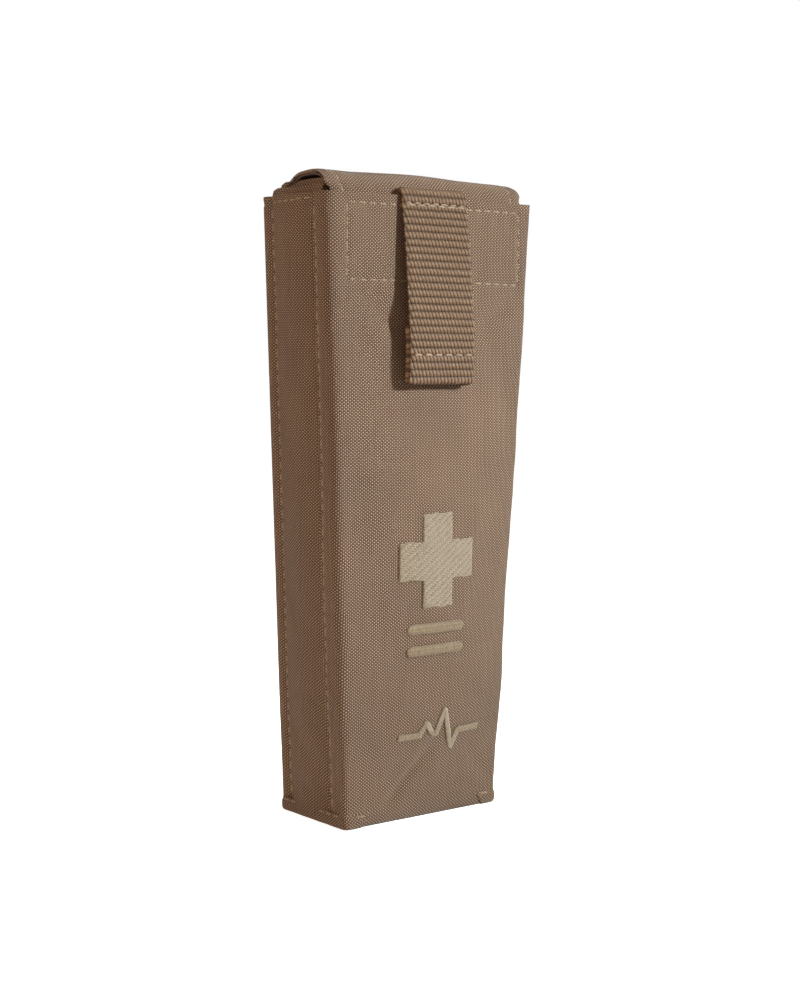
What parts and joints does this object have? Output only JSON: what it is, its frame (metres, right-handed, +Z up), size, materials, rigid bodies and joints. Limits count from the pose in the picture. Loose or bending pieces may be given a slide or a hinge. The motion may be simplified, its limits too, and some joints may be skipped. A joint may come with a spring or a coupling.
{
  "type": "tourniquet pouch",
  "caption": "Tall tapered belt pouch of brown nylon cloth for a folded tourniquet, with a tuck-in hook-and-loop lid, a webbing pull tab and a strap with a press stud on the back.",
  "frame": {"origin": "under the middle of the pouch's bounding box, on the surface that it stands on", "axes": "+Z up along the pouch's height, -Y out of the front panel, +X to the right of someone facing the front"},
  "size_m": [0.077, 0.0462, 0.1912],
  "materials": {
    "shell_cloth": "woven coated nylon, matt",
    "lining_cloth": "thin woven nylon lining, matt",
    "stiffener_sheet": "smooth polyethylene sheet",
    "binding_tape": "ribbed grosgrain tape",
    "webbing": "ribbed nylon webbing, matt",
    "loop_pile": "soft looped pile",
    "hook_pile": "stiff hooked pile",
    "embroidery_thread": "satin embroidery thread",
    "snap_metal": "brown lacquered brass",
    "eyelet_metal": "brown lacquered brass"
  },
  "bodies": {
    "pouch": {"back_panel": "shell_cloth", "back_stiffener": "stiffener_sheet", "back_lining": "lining_cloth", "front_panel": "shell_cloth", "bottom_panel": "shell_cloth", "left_gusset": "shell_cloth", "right_gusset": "shell_cloth", "left_dust_ear": "shell_cloth", "right_dust_ear": "shell_cloth", "left_seam_binding": "binding_tape", "right_seam_binding": "binding_tape", "loop_tape": "loop_pile", "tab_anchor": "webbing", "molle_row_upper": "webbing", "molle_row_middle": "webbing", "molle_row_lower": "webbing", "strap_anchor": "webbing", "snap_stud": "snap_metal", "snap_post": "snap_metal", "drain_eyelet": "eyelet_metal", "drain_washer": "eyelet_metal", "cross_embroidery": "embroidery_thread", "bar_embroidery": "embroidery_thread", "pulse_embroidery": "embroidery_thread"},
    "lid": {"lid_outer": "shell_cloth", "lid_lining": "lining_cloth"},
    "lid_leaf": {"leaf_outer": "shell_cloth", "leaf_lining": "lining_cloth", "hook_tape": "hook_pile"},
    "tab": {"pull_tab": "webbing", "pull_tab_fold": "webbing"},
    "strap": {"strap_webbing": "webbing", "strap_end_fold": "webbing", "snap_cap": "snap_metal", "snap_socket": "snap_metal"}
  },
  "joints": [
    {"name": "lid_swing", "type": "hinge", "parent": "pouch", "child": "lid", "pos_m": [0, 0.01501, 0.1852], "axis": [-1, 0, 0], "range_deg": [0, 150]},
    {"name": "leaf_fold", "type": "hinge", "parent": "lid", "child": "lid_leaf", "pos_m": [0, -0.01029, 0.1904], "axis": [1, 0, 0], "range_deg": [0, 38]},
    {"name": "tab_swing", "type": "hinge", "parent": "pouch", "child": "tab", "pos_m": [0, -0.01659, 0.182], "axis": [-1, 0, 0], "range_deg": [0, 140]},
    {"name": "strap_swing", "type": "hinge", "parent": "pouch", "child": "strap", "pos_m": [0, 0.01961, 0.1686], "axis": [1, 0, 0], "range_deg": [0, 120]}
  ],
  "couplings": [
    {"joint": "leaf_fold", "follows": "lid_swing", "ratio": 0.25}
  ]
}
